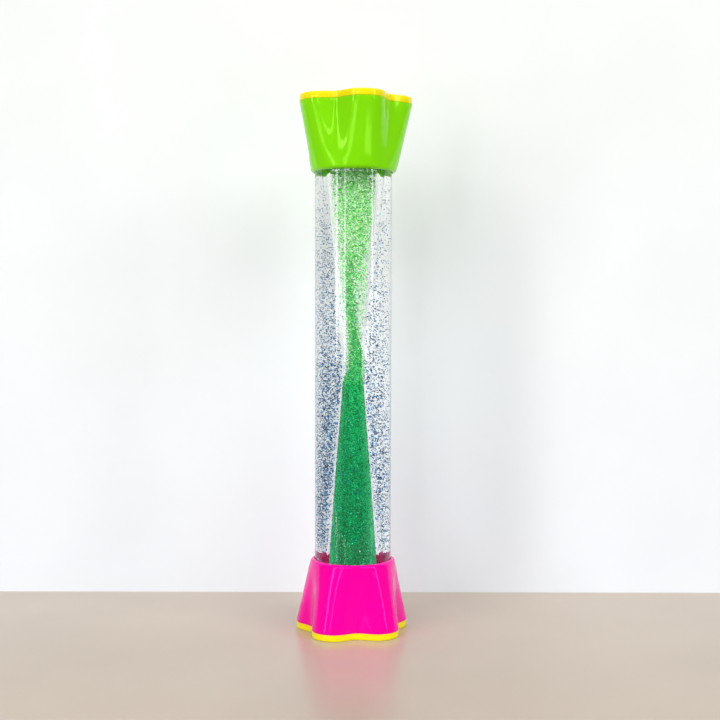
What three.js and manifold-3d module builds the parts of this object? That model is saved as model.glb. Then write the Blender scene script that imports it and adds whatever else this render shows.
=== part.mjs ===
// Sensory bottle: a clear liquid-filled tube with an hourglass vessel inside it, closed at both ends
// by a five-lobed cap and plate, so that it stands on either end and its glitter runs down again.
// Millimetres, +Z up. The origin is the middle of the bottom plate's resting face, and -Y is the front.

import * as THREE from 'three';
import { mergeVertices } from 'three/addons/utils/BufferGeometryUtils.js';
import Module from 'manifold-3d';

// Tube
const overallHeight = 305;
const tubeOuterDiameter = 44;
const tubeWall = 2;

// Caps and their lobes
const capHeight = 37.8;
const shellWall = 2.2;
const lobeCount = 5;
const valleyStep = 1.6;
const lobeDepth = 7.3;
const lobeFullness = 0.43;
const collarLand = 12;
const lipRadius = 2;
const bottomCapTurn = THREE.MathUtils.degToRad(41.5);
const topCapTurn = THREE.MathUtils.degToRad(15);

// Plates
const plateThickness = 3.8;
const plateEdgeRadius = 0.8;
const plateLipHeight = 3;
const plateLipWall = 1.5;
const plateRingHeight = 8;
const plateRingWall = 2;

// Tube plugs and their ring seals
const flangeThickness = 3;
const spigotLength = 14;
const grooveInset = 3;
const grooveWidth = 3;
const grooveDepth = 2;
const socketDepth = 7;
const plugFloor = 3;
const plugCoreDiameter = 20;

// Hourglass vessel
const jacketWidth = 7.5;
const coneWall = 2.5;
const coneFootLength = 14;
const neckOuterDiameter = 13;
const neckLength = 10;
const neckSpigotLength = 3;
const stopperLength = 9;
const cushionThickness = 1.5;
const cushionWidth = 5;

// Filling pins
const pinDiameter = 2.6;
const pinHeadDiameter = 4.4;
const pinHeadThickness = 1.2;

// Liquids and glitter
const jacketUllage = 8;
const vesselUllage = 8;
const jacketBedDepth = 6;
const bedBelowWaist = 8;
const streamDiameter = 4.2;
const streamTopDiameter = 2.6;
const streamLength = 70;

// Clearances
const collarClearance = 0.3;
const partingGap = 0.2;
const seatGap = 0.3;
const fitGap = 0.2;
const sealGap = 0.15;
const liquidGap = 0.3;

// Smoothness of round and lobed surfaces
const roundSteps = 36;
const tubeSteps = 48;
const stepsPerLobe = 14;
const pinSteps = 16;
const sealSteps = 8;
const arcSteps = 3;

const quarterTurn = Math.PI / 2;

// Radii of the tube and of what fits it
const tubeRadius = tubeOuterDiameter / 2;
const tubeBore = tubeRadius - tubeWall;
const collarBore = tubeRadius + collarClearance;
const collarRadius = collarBore + shellWall;
const valleyRadius = collarRadius + valleyStep;
const tipRadius = valleyRadius + lobeDepth;
const spigotRadius = tubeBore - fitGap;
const grooveRadius = spigotRadius - grooveDepth;

// Radii of the vessel and of what fits it
const footRadius = tubeBore - jacketWidth;
const footBore = footRadius - coneWall;
const neckRadius = neckOuterDiameter / 2;
const neckBore = neckRadius - coneWall;
const socketRadius = footRadius + fitGap;
const stopperRadius = footBore - fitGap;
const pinRadius = pinDiameter / 2;
const pinHeadRadius = pinHeadDiameter / 2;

// Heights inside one end, counted inwards from the plate's resting face
const shellBase = plateThickness + partingGap;
const ringTop = plateThickness + plateRingHeight;
const flangeBase = ringTop + seatGap;
const flangeTop = flangeBase + flangeThickness;
const tubeEnd = flangeTop + seatGap;
const grooveBase = flangeTop + grooveInset;
const grooveTop = grooveBase + grooveWidth;
const spigotTop = flangeTop + spigotLength;
const socketFloor = spigotTop - socketDepth;
const plugCoreTop = socketFloor - plugFloor;
const cushionBase = socketFloor + fitGap;
const coneEnd = cushionBase + cushionThickness + fitGap;
const stopperTop = coneEnd + stopperLength;
const footTop = coneEnd + coneFootLength;

// Heights in the middle of the toy
const waist = overallHeight / 2;
const neckStart = waist - neckLength / 2;
const jacketLevel = overallHeight - spigotTop - jacketUllage;
const vesselLevel = overallHeight - stopperTop - vesselUllage;
const bedTop = waist - bedBelowWaist;
const streamTop = bedTop + streamLength;

// Finishes
const finish = (color, roughness, opacity = 1) => new THREE.MeshStandardMaterial({
  color,
  roughness,
  metalness: 0,
  opacity,
  transparent: opacity < 1,
});
const limePlastic = finish(0x7cd814, 0.2);
const pinkPlastic = finish(0xfc0a9a, 0.2);
const yellowPlastic = finish(0xfae81a, 0.25);
const clearPlastic = finish(0xf4f8fb, 0.05, 0.25);
const whitePlastic = finish(0xe9ecee, 0.4);
const sealRubber = finish(0x2b2c30, 0.7);
const stopperRubber = finish(0xc9ced2, 0.6);
const cushionFoam = finish(0xf2f2ee, 0.9);
const clearLiquid = finish(0xe6f1f6, 0.05, 0.2);
const greenLiquid = finish(0x8ad27c, 0.05, 0.55);
const greenGlitter = finish(0x0a9a58, 0.35);
const blueGlitter = finish(0x2b4f86, 0.35);

// Radius of the cap's wide end at an angle from the middle of a lobe
function lobeRadius(angle) {
  const mean = (tipRadius + valleyRadius) / 2 + lobeFullness;
  const swing = (tipRadius - valleyRadius) / 2;
  const turns = lobeCount * angle;
  return mean + swing * Math.cos(turns) - lobeFullness * Math.cos(2 * turns);
}

// Point on the cap's flaring skin, or an inset behind it, at a height above the wide end
function skinPoint(aboveWideEnd, height, inset = 0) {
  const share = 1 - aboveWideEnd / capHeight;
  const radius = (angle) => collarRadius + share * (lobeRadius(angle) - collarRadius) - inset;
  return { radius, height };
}

// Point of an outline that stays round
function roundPoint(radius, height) {
  return { radius: () => radius, height };
}

// Solid turned about Z from an outline of [radius, height] points, which runs anticlockwise
function turned(outline, steps = roundSteps) {
  const points = outline.map(([radius, height]) => new THREE.Vector2(radius, height));
  const geometry = new THREE.LatheGeometry(points, steps);
  return geometry.rotateX(quarterTurn);
}

// Turned solid whose outline points each have a radius that changes with the angle from the front
function lobed(outline) {
  const points = outline.map(({ height }) => new THREE.Vector2(collarRadius, height));
  const geometry = new THREE.LatheGeometry(points, lobeCount * stepsPerLobe).rotateX(quarterTurn);
  const position = geometry.attributes.position;
  for (let i = 0; i < position.count; i += 1) {
    const angle = Math.atan2(position.getX(i), -position.getY(i));
    const radius = outline[i % outline.length].radius(angle);
    position.setXY(i, radius * Math.sin(angle), -radius * Math.cos(angle));
  }
  return geometry;
}

// Closed ring with a square section
function ring(innerRadius, outerRadius, low, high, steps = roundSteps) {
  const outline = [
    [innerRadius, low],
    [outerRadius, low],
    [outerRadius, high],
    [innerRadius, high],
    [innerRadius, low],
  ];
  return turned(outline, steps);
}

// Angles along a quarter arc
const arcAngles = Array.from({ length: arcSteps + 1 }, (_, i) => (quarterTurn * i) / arcSteps);

const wasm = await Module();
wasm.setup();

// Boolean solid from a closed geometry, without the empty triangles at its poles
function toSolid(geometry) {
  const bare = geometry.clone();
  bare.deleteAttribute('normal');
  bare.deleteAttribute('uv');
  const merged = mergeVertices(bare);
  const index = merged.index.array;
  const triangles = [];
  for (let i = 0; i < index.length; i += 3) {
    const corners = [index[i], index[i + 1], index[i + 2]];
    if (new Set(corners).size === corners.length) triangles.push(...corners);
  }
  return new wasm.Manifold(new wasm.Mesh({
    numProp: 3,
    vertProperties: new Float32Array(merged.attributes.position.array),
    triVerts: new Uint32Array(triangles),
  }));
}

function toGeometry(solid) {
  const { vertProperties, triVerts } = solid.getMesh();
  const geometry = new THREE.BufferGeometry();
  geometry.setAttribute('position', new THREE.BufferAttribute(vertProperties, 3));
  geometry.setIndex(new THREE.BufferAttribute(triVerts, 1));
  geometry.computeVertexNormals();
  return geometry;
}

// Lobed plate with a lip that locates it in the cap and a ring that carries the tube's plug
function plateGeometry() {
  const edge = arcAngles.map((angle) => skinPoint(
    0,
    plateEdgeRadius * (1 - Math.cos(angle)),
    plateEdgeRadius * (1 - Math.sin(angle)),
  ));
  const lipInset = shellWall + seatGap;
  const lipTop = plateThickness + plateLipHeight;
  const tubeSide = tubeBore - plateRingWall;
  return lobed([
    roundPoint(0, 0),
    ...edge,
    skinPoint(0, plateThickness),
    skinPoint(0, plateThickness, lipInset),
    skinPoint(plateLipHeight, lipTop, lipInset),
    skinPoint(plateLipHeight, lipTop, lipInset + plateLipWall),
    skinPoint(0, plateThickness, lipInset + plateLipWall),
    roundPoint(tubeBore, plateThickness),
    roundPoint(tubeBore, ringTop),
    roundPoint(tubeSide, ringTop),
    roundPoint(tubeSide, plateThickness),
    roundPoint(0, plateThickness),
  ]);
}

// Lobed shell with a round collar, whose bore grips the tube over the collar's land
function capGeometry() {
  const rim = shellBase + capHeight;
  const lipStart = capHeight - lipRadius;
  const landEnd = capHeight - collarLand;
  const lip = arcAngles.map((angle) => skinPoint(
    lipStart + lipRadius * Math.sin(angle),
    rim - lipRadius * (1 - Math.sin(angle)),
    lipRadius * (1 - Math.cos(angle)),
  ));
  return lobed([
    skinPoint(0, shellBase),
    skinPoint(landEnd, shellBase + landEnd),
    ...lip,
    roundPoint(collarBore, rim),
    roundPoint(collarBore, shellBase + landEnd),
    skinPoint(landEnd, shellBase + landEnd, shellWall),
    skinPoint(0, shellBase, shellWall),
    skinPoint(0, shellBase),
  ]);
}

// Stepped plug: flange under the tube's end, grooved spigot in its bore, socket for the vessel's foot
function plugGeometry() {
  return turned([
    [0, plugCoreTop],
    [plugCoreDiameter / 2, plugCoreTop],
    [plugCoreDiameter / 2, flangeBase],
    [tubeRadius, flangeBase],
    [tubeRadius, flangeTop],
    [spigotRadius, flangeTop],
    [spigotRadius, grooveBase],
    [grooveRadius, grooveBase],
    [grooveRadius, grooveTop],
    [spigotRadius, grooveTop],
    [spigotRadius, spigotTop],
    [socketRadius, spigotTop],
    [socketRadius, socketFloor],
    [0, socketFloor],
  ]);
}

// Headed pin on the Z axis between its head's face and its tip, grown all round by a gap for its hole
function pinGeometry(headFace, tip, gap = 0) {
  const headTop = headFace + pinHeadThickness + gap;
  return turned([
    [0, headFace - gap],
    [pinHeadRadius + gap, headFace - gap],
    [pinHeadRadius + gap, headTop],
    [pinRadius + gap, headTop],
    [pinRadius + gap, tip + gap],
    [0, tip + gap],
  ], pinSteps);
}

// Where the tube's filling pin stands: midway between the plug's socket and its seal groove
const tubePinOffset = (socketRadius + grooveRadius) / 2;

function drilledPlugGeometry() {
  const hole = pinGeometry(flangeBase, spigotTop, fitGap);
  hole.translate(tubePinOffset, 0, 0);
  return toGeometry(toSolid(plugGeometry()).subtract(toSolid(hole)));
}

function sealGeometry() {
  const sectionRadius = (grooveDepth + fitGap) / 2 - sealGap;
  const ringRadius = grooveRadius + sealGap + sectionRadius;
  const geometry = new THREE.TorusGeometry(ringRadius, sectionRadius, sealSteps, roundSteps);
  return geometry.translate(0, 0, (grooveBase + grooveTop) / 2);
}

function cushionGeometry() {
  const outerRadius = footRadius - fitGap;
  return ring(outerRadius - cushionWidth, outerRadius, cushionBase, cushionBase + cushionThickness);
}

function stopperGeometry() {
  return turned([
    [0, coneEnd],
    [stopperRadius, coneEnd],
    [stopperRadius, stopperTop],
    [0, stopperTop],
  ]);
}

function drilledStopperGeometry() {
  const hole = pinGeometry(coneEnd, stopperTop, fitGap);
  return toGeometry(toSolid(stopperGeometry()).subtract(toSolid(hole)));
}

// Where the two cones meet, with a spigot on the lower one in a socket of the upper one
const neckSpigotRadius = neckBore + (coneWall - fitGap) / 2;

// Half of the vessel from its foot to the waist, with the outline of its joint at the neck
function coneGeometry(joint) {
  return turned([
    [footBore, coneEnd],
    [footRadius, coneEnd],
    [footRadius, footTop],
    [neckRadius, neckStart],
    ...joint,
    [neckBore, neckStart],
    [footBore, footTop],
    [footBore, coneEnd],
  ]);
}

const spigotJoint = [
  [neckRadius, waist - seatGap / 2],
  [neckSpigotRadius, waist - seatGap / 2],
  [neckSpigotRadius, waist + neckSpigotLength],
  [neckBore, waist + neckSpigotLength],
];
const socketJoint = [
  [neckRadius, waist - seatGap / 2],
  [neckSpigotRadius + fitGap, waist - seatGap / 2],
  [neckSpigotRadius + fitGap, waist - neckSpigotLength - seatGap],
  [neckBore, waist - neckSpigotLength - seatGap],
];

// Radius on a cone of the vessel at a distance from the waist, on its inside or its outside
function coneRadius(fromWaist, neck, foot) {
  const straight = neckLength / 2;
  const flare = (foot - neck) / (waist - footTop - straight);
  const climb = Math.max(fromWaist - straight, 0) * flare;
  return Math.min(neck + climb, foot);
}
const outsideRadius = (height) => coneRadius(Math.abs(height - waist), neckRadius, footRadius);
const insideRadius = (height) => coneRadius(Math.abs(height - waist), neckBore, footBore);

// Bed of settled glitter on the bottom plug, round the foot of the lower cone
const jacketBedBase = spigotTop + liquidGap;
const jacketBedTop = jacketBedBase + jacketBedDepth;
const jacketOuter = tubeBore - liquidGap;

function jacketBedGeometry() {
  return ring(footRadius + liquidGap, jacketOuter, jacketBedBase, jacketBedTop);
}

// Clear liquid between the tube and the vessel, up to its level under the top plug. The blue flakes that are
// still afloat are spread all through it, so this one body is the liquid together with them.
function jacketLiquidGeometry() {
  const base = jacketBedTop + liquidGap;
  const bends = [base, footTop, neckStart, 2 * waist - neckStart, 2 * waist - footTop, jacketLevel];
  const inside = bends
    .filter((height) => height >= base && height <= jacketLevel)
    .map((height) => [outsideRadius(height) + liquidGap, height]);
  return turned([
    inside[0],
    [jacketOuter, base],
    [jacketOuter, jacketLevel],
    ...inside.reverse(),
  ]);
}

// Green glitter packed in the lower cone, with the stream that runs down to it through the neck
function vesselGlitterGeometry() {
  const base = stopperTop + liquidGap;
  const bends = [base, footTop, Math.min(neckStart, bedTop), bedTop]
    .filter((height) => height >= base && height <= bedTop);
  return turned([
    [0, base],
    ...bends.map((height) => [insideRadius(height) - liquidGap, height]),
    [streamDiameter / 2, bedTop],
    [streamTopDiameter / 2, streamTop],
    [0, streamTop],
  ]);
}

// Green liquid and the flakes that still sink through it, round the stream, from the top of that glitter to
// the level under the top stopper
function vesselLiquidGeometry() {
  const base = bedTop + liquidGap;
  const bends = [base, neckStart, 2 * waist - neckStart, 2 * waist - footTop, vesselLevel];
  const outside = bends
    .filter((height) => height >= base && height <= vesselLevel)
    .map((height) => [insideRadius(height) - liquidGap, height]);
  return turned([
    [0, streamTop + liquidGap],
    [streamTopDiameter / 2 + liquidGap, streamTop + liquidGap],
    [streamDiameter / 2 + liquidGap, base],
    ...outside,
    [0, vesselLevel],
  ]);
}

function piece(name, geometry, material) {
  const mesh = new THREE.Mesh(geometry, material);
  mesh.name = name;
  return mesh;
}

// Everything that closes one end, standing on its plate, with the pieces given for that end
function endGroup(side, capMaterial, plug, stopper) {
  const group = new THREE.Group();
  group.add(
    piece(`${side}_plate`, plateGeometry(), yellowPlastic),
    piece(`${side}_cap`, capGeometry(), capMaterial),
    piece(`${side}_plug`, plug, whitePlastic),
    piece(`${side}_seal`, sealGeometry(), sealRubber),
    piece(`${side}_cushion`, cushionGeometry(), cushionFoam),
    piece(`${side}_stopper`, stopper, stopperRubber),
  );
  return group;
}

const bottomEnd = endGroup('bottom', pinkPlastic, plugGeometry(), stopperGeometry());
bottomEnd.add(piece('lower_cone', coneGeometry(spigotJoint), clearPlastic));
bottomEnd.rotation.z = bottomCapTurn;

// The top end is the same, turned over about the front axis, with its holes and filling pins
const tubePin = pinGeometry(flangeBase, spigotTop).translate(tubePinOffset, 0, 0);
const conePin = pinGeometry(coneEnd, stopperTop);
const topEnd = endGroup('top', limePlastic, drilledPlugGeometry(), drilledStopperGeometry());
topEnd.add(
  piece('tube_fill_pin', tubePin, whitePlastic),
  piece('cone_fill_pin', conePin, whitePlastic),
  piece('upper_cone', coneGeometry(socketJoint), clearPlastic),
);
topEnd.rotation.set(0, Math.PI, topCapTurn, 'ZYX');
topEnd.position.z = overallHeight;

const bottle = new THREE.Group();
bottle.name = 'sensory_bottle';
bottle.add(
  bottomEnd,
  topEnd,
  piece('outer_tube', ring(tubeBore, tubeRadius, tubeEnd, overallHeight - tubeEnd, tubeSteps), clearPlastic),
  piece('outer_liquid', jacketLiquidGeometry(), clearLiquid),
  piece('outer_glitter', jacketBedGeometry(), blueGlitter),
  piece('inner_liquid', vesselLiquidGeometry(), greenLiquid),
  piece('inner_glitter', vesselGlitterGeometry(), greenGlitter),
);

export default bottle;
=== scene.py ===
# %% [markdown]
# # Dressing a sensory bottle
# The toy is a clear tube of liquid with an hourglass of green glitter inside it. A lobed cap and a flat
# plate close each end, so that it stands either way up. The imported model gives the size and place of
# every piece, and this lesson gives each piece its finished surface.

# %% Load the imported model
import math

import bpy
import numpy as np
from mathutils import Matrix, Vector


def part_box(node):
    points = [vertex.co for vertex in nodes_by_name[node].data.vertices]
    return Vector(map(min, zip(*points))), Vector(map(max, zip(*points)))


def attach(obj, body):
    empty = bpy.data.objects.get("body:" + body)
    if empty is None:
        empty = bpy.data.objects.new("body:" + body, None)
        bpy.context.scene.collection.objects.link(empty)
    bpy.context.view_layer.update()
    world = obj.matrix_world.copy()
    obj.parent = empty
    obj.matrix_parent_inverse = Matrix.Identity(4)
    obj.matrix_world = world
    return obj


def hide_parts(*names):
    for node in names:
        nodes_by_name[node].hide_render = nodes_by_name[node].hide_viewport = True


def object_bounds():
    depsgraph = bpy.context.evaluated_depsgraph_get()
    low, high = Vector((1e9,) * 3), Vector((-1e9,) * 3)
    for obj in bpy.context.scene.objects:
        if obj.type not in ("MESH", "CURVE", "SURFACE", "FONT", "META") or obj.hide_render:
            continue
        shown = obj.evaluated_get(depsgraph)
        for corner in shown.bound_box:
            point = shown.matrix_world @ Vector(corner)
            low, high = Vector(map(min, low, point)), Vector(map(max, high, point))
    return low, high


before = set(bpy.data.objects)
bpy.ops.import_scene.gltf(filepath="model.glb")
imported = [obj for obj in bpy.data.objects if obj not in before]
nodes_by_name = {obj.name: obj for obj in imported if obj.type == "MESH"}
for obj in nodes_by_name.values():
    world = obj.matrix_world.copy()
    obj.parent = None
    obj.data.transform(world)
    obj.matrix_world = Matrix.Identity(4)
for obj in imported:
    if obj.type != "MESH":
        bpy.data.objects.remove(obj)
cad_low, cad_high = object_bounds()
overall_height = cad_high.z
print("loaded", len(nodes_by_name), "nodes, height", round(overall_height, 4))

# %% [markdown]
# ## Camera
# The camera stands level with the upper half of the toy and looks very slightly down. Its place and lens
# were worked out from the outlines of the caps and the tube, so they are plain numbers here.

# %% Camera
camera_place = (0.00395, -0.669, 0.1771)
camera_lens = 58.1
camera_dip = 0.0567
camera_roll = -0.0019
camera_shift = 0.0419

scene = bpy.context.scene
bpy.ops.object.select_all(action="DESELECT")
bpy.ops.object.camera_add(location=camera_place, rotation=(math.pi / 2 - camera_dip, camera_roll, 0))
camera = bpy.context.object
camera.name = "camera"
camera.data.lens = camera_lens
camera.data.shift_y = camera_shift
scene.camera = camera
scene.view_settings.view_transform = "Standard"
print("camera", [round(c, 3) for c in camera.location])

# %% [markdown]
# ## Node helpers
# A Blender material is a small network of nodes, and the same few steps come back in every finish of this
# toy. They could be wired by hand each time. Written once as functions, they keep each finish short and
# alike.

# %% Node helpers
def start_material(name):
    """New node material, with its nodes, links and principled shader."""
    material = bpy.data.materials.new(name)
    material.use_nodes = True
    tree = material.node_tree
    return material, tree.nodes, tree.links, tree.nodes["Principled BSDF"]


def preset(node, values):
    """Give a node's inputs their constant values."""
    for socket, value in values.items():
        node.inputs[socket].default_value = value


def ramp(nodes, links, factor, stops, interpolation="LINEAR"):
    """Colour that an output picks from a ramp with (place, colour) stops."""
    node = nodes.new("ShaderNodeValToRGB")
    node.color_ramp.interpolation = interpolation
    elements = node.color_ramp.elements
    while len(elements) < len(stops):
        elements.new(0.5)
    for element, (place, colour) in zip(elements, stops):
        element.position = place
        element.color = (*colour, 1)
    links.new(factor, node.inputs["Fac"])
    return node.outputs["Color"]


def own_place(nodes):
    """Output of the object's own coordinates."""
    return nodes.new("ShaderNodeTexCoord").outputs["Object"]


def object_noise(nodes, links, scale, detail=2.0, stretch=(1, 1, 1)):
    """Noise on object coordinates, with its grain stretched along the axes."""
    mapping = nodes.new("ShaderNodeMapping")
    preset(mapping, {"Scale": stretch})
    noise = nodes.new("ShaderNodeTexNoise")
    preset(noise, {"Scale": scale, "Detail": detail})
    links.new(own_place(nodes), mapping.inputs["Vector"])
    links.new(mapping.outputs["Vector"], noise.inputs["Vector"])
    return noise


def multiplied(nodes, links, first, second):
    """Product of two colour outputs."""
    node = nodes.new("ShaderNodeMix")
    node.data_type = "RGBA"
    node.blend_type = "MULTIPLY"
    preset(node, {"Factor": 1.0})
    links.new(first, node.inputs["A"])
    links.new(second, node.inputs["B"])
    return node.outputs["Result"]


def by_height(nodes, links, low, high, stops):
    """Colour that changes with height between two levels."""
    axes = nodes.new("ShaderNodeSeparateXYZ")
    links.new(own_place(nodes), axes.inputs["Vector"])
    climb = nodes.new("ShaderNodeMapRange")
    preset(climb, {"From Min": low, "From Max": high})
    links.new(axes.outputs["Z"], climb.inputs["Value"])
    return ramp(nodes, links, climb.outputs["Result"], stops)


def bumped(nodes, links, shader, height, strength, depth):
    """Let an output raise and sink the shader's surface."""
    bump = nodes.new("ShaderNodeBump")
    preset(bump, {"Strength": strength, "Distance": depth})
    links.new(height, bump.inputs["Height"])
    links.new(bump.outputs["Normal"], shader.inputs["Normal"])


def see_through_where(nodes, links, shader, mask):
    """Make the material fully transparent where a mask is one."""
    through = nodes.new("ShaderNodeBsdfTransparent")
    mix = nodes.new("ShaderNodeMixShader")
    links.new(mask, mix.inputs["Fac"])
    links.new(shader.outputs["BSDF"], mix.inputs[1])
    links.new(through.outputs["BSDF"], mix.inputs[2])
    links.new(mix.outputs["Shader"], nodes["Material Output"].inputs["Surface"])


print("node helpers ready")

# %% [markdown]
# ## Floor and backdrop
# A pale floor and a white backdrop close behind the toy give the clear plastic something bright to show.
# The wall carries a painted soft shadow of the toy on its right, and is slightly cooler low down. It is
# see-through from behind, so that the toy can also be looked at from the back.

# %% Finishes of floor and backdrop
floor_grain = 9
floor_shades = [(0.35, (0.52, 0.425, 0.34)), (0.65, (0.56, 0.46, 0.37))]
floor_roughness = 0.28
backdrop_grain = 14
backdrop_shades = [(0.35, (0.85, 0.86, 0.875)), (0.65, (0.87, 0.88, 0.895))]
backdrop_roughness = 0.9
backdrop_behind = 0.0918
# Painted shadow of the toy on the wall: its middle, its reach and its greys.
painted_shadow_middle = (0.055, backdrop_behind, 0.11)
painted_shadow_reach = (0.09, 1.0, 0.24)
painted_shadow_stops = [(0.0, (1, 1, 1)), (0.75, (0.86, 0.87, 0.87))]
cool_low = 0.02
cool_high = 0.33
cool_stops = [(0.0, (0.92, 0.96, 1.0)), (0.5, (0.95, 0.975, 0.985)), (1.0, (0.965, 0.985, 0.96))]


def floor_material():
    """Pale satin table top."""
    material, nodes, links, shader = start_material("pale_floor")
    grain = object_noise(nodes, links, floor_grain, 4.0)
    tint = ramp(nodes, links, grain.outputs["Fac"], floor_shades)
    links.new(tint, shader.inputs["Base Color"])
    preset(shader, {"Roughness": floor_roughness})
    return material


def backdrop_material():
    """White wall with a painted soft shadow on its right and a cooler foot, that can be seen through from
    behind.
    """
    material, nodes, links, shader = start_material("white_backdrop")
    grain = object_noise(nodes, links, backdrop_grain, 3.0)
    tint = ramp(nodes, links, grain.outputs["Fac"], backdrop_shades)
    # Painted shade: a soft grey patch right of the toy stands in for its shadow on the wall.
    shadow_patch = nodes.new("ShaderNodeMapping")
    shadow_patch.vector_type = "TEXTURE"
    preset(shadow_patch, {"Location": painted_shadow_middle, "Scale": painted_shadow_reach})
    links.new(own_place(nodes), shadow_patch.inputs["Vector"])
    fade = nodes.new("ShaderNodeTexGradient")
    fade.gradient_type = "SPHERICAL"
    links.new(shadow_patch.outputs["Vector"], fade.inputs["Vector"])
    shade = ramp(nodes, links, fade.outputs["Color"], painted_shadow_stops, "EASE")
    shaded = multiplied(nodes, links, tint, shade)
    cool = by_height(nodes, links, cool_low, cool_high, cool_stops)
    links.new(multiplied(nodes, links, shaded, cool), shader.inputs["Base Color"])
    preset(shader, {"Roughness": backdrop_roughness})
    side = nodes.new("ShaderNodeNewGeometry")
    see_through_where(nodes, links, shader, side.outputs["Backfacing"])
    return material


pale_floor = floor_material()
white_backdrop = backdrop_material()
print("stage finishes made")

# %% Floor and backdrop
floor_width = 3.0
floor_front = -0.3
floor_back = 1.5
backdrop_width = 0.7
backdrop_height = 0.8


def stage_plane(name, behind, height, tilt, size, material):
    """Plane behind and above the middle of the toy's foot, tipped up about X."""
    bpy.ops.object.select_all(action="DESELECT")
    bpy.ops.mesh.primitive_plane_add(size=1, location=(0, behind, height), rotation=(tilt, 0, 0))
    plane = bpy.context.object
    plane.name = name
    plane.scale = (*size, 1)
    bpy.ops.object.transform_apply(location=True, rotation=True, scale=True)
    plane.data.materials.append(material)
    return plane


floor_size = (floor_width, floor_back - floor_front)
backdrop_size = (backdrop_width, backdrop_height)
floor = stage_plane("floor", (floor_front + floor_back) / 2, 0, 0, floor_size, pale_floor)
backdrop = stage_plane(
    "backdrop", backdrop_behind, backdrop_height / 2, math.pi / 2, backdrop_size, white_backdrop)
print("stage: floor and backdrop")

# %% [markdown]
# ## Light
# Two large soft lamps stand high to the left and right, above what the caps' walls mirror. Three tall
# narrow lamps stand lower and further off: each draws one long bright streak down the glossy lobes. Two
# small lamps close by, level with the tube, give the upper cap its broad soft bands. A plain grey world
# fills in the rest.

# %% Light
ambient_level = 0.18
aim = Vector((0, 0, overall_height / 2))


def studio_lamp(name, azimuth, elevation, distance, size, glow):
    """Rectangular lamp facing the toy, placed by degrees to the right of the camera and above the toy."""
    side, lift = math.radians(azimuth), math.radians(elevation)
    away = Vector((math.sin(side) * math.cos(lift), -math.cos(side) * math.cos(lift), math.sin(lift)))
    bpy.ops.object.light_add(type="AREA", location=aim + away * distance)
    lamp = bpy.context.object
    lamp.name = name
    lamp.rotation_euler = away.to_track_quat("Z", "Y").to_euler()
    lamp.data.shape = "RECTANGLE"
    lamp.data.size, lamp.data.size_y = size
    lamp.data.energy = glow * math.pi * size[0] * size[1]
    lamp.visible_camera = False
    lamp.visible_transmission = False
    return lamp


# Name, azimuth, elevation, distance, width and height, glow
lamps = [
    studio_lamp("soft_left", -27, 35, 2.2, (1.8, 1.1), 3.6),
    studio_lamp("soft_right", 45, 35, 2.2, (1.6, 1.1), 4.4),
    studio_lamp("strip_left", -49.5, 12.2, 4.2, (0.5, 2.1), 9.0),
    studio_lamp("strip_front", -24, 12.2, 4.2, (0.4, 2.1), 6.5),
    studio_lamp("strip_right", 58.5, 12.2, 4.2, (0.35, 2.1), 7.0),
    studio_lamp("low_left", -38, 6.4, 0.45, (0.23, 0.066), 4.2),
    studio_lamp("low_right", 37.5, 0, 0.45, (0.2, 0.045), 4.2),
]

world = bpy.data.worlds.new("studio")
scene.world = world
world.use_nodes = True
preset(world.node_tree.nodes["Background"], {"Color": (1, 1, 1, 1), "Strength": ambient_level})
print("lamps", [lamp.name for lamp in lamps])

# %% [markdown]
# ## Turning a piece
# Most of the toy is round, so its pieces are turned: one point is extruded along an outline and the
# outline is spun about the tube's axis. Stacked cylinders would need joining, and an outline gives a true
# wall in one go. Lobes are pushed out afterwards, point by point.

# %% Turning a piece
merge_distance = 1e-7
smooth_angle = math.radians(32)


def finish_shell(piece):
    """Merge doubles, point all faces outwards and smooth all but sharp edges."""
    bpy.ops.object.mode_set(mode="EDIT")
    bpy.ops.mesh.select_all(action="SELECT")
    bpy.ops.mesh.remove_doubles(threshold=merge_distance)
    bpy.ops.mesh.normals_make_consistent(inside=False)
    bpy.ops.object.mode_set(mode="OBJECT")
    bpy.ops.object.shade_smooth_by_angle(angle=smooth_angle)
    return piece


def turned(name, outline, steps):
    """Piece turned about Z from an outline of (radius, height) points."""
    bpy.ops.object.select_all(action="DESELECT")
    bpy.ops.mesh.primitive_plane_add(size=0.01)
    piece = bpy.context.object
    piece.name = name
    piece.data.name = name
    bpy.ops.object.mode_set(mode="EDIT")
    bpy.ops.mesh.select_all(action="SELECT")
    bpy.ops.mesh.merge(type="CENTER")
    bpy.ops.transform.translate(value=(outline[0][0], 0, outline[0][1]))
    for (radius, height), (next_radius, next_height) in zip(outline, outline[1:]):
        step = (next_radius - radius, 0, next_height - height)
        bpy.ops.mesh.extrude_vertices_move(TRANSFORM_OT_translate={"value": step})
    bpy.ops.mesh.select_all(action="SELECT")
    bpy.ops.mesh.spin(steps=steps, angle=2 * math.pi, center=(0, 0, 0), axis=(0, 0, 1))
    bpy.ops.object.mode_set(mode="OBJECT")
    return finish_shell(piece)


def arc(centre, radius, start, end, count):
    """Points along an arc in an outline, between two angles in degrees."""
    angles = [math.radians(start + (end - start) * i / count) for i in range(count + 1)]
    return [(centre[0] + radius * math.cos(a), centre[1] + radius * math.sin(a)) for a in angles]


def points_of(piece):
    """The piece's vertices as an array."""
    points = np.empty(len(piece.data.vertices) * 3)
    piece.data.vertices.foreach_get("co", points)
    return points.reshape(-1, 3)


def set_points(piece, points):
    """Move the piece's vertices to an array of places."""
    piece.data.vertices.foreach_set("co", points.ravel())
    piece.data.update()


def paint_faces(piece, materials, choose):
    """Give the piece its materials, and each face the one that choose picks from its middle and normal."""
    for material in materials:
        piece.data.materials.append(material)
    for face in piece.data.polygons:
        face.material_index = choose(face.center, face.normal)


print("turning tools ready")

# %% [markdown]
# ## Glossy mouldings
# Caps and plates are polished injection mouldings. Up close such a surface is never perfectly flat or
# even: it has a faint ripple from the mould, slight changes of shade and a few dull patches from hands.
# One node group makes all three, and each plastic uses it with its own colours.

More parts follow.
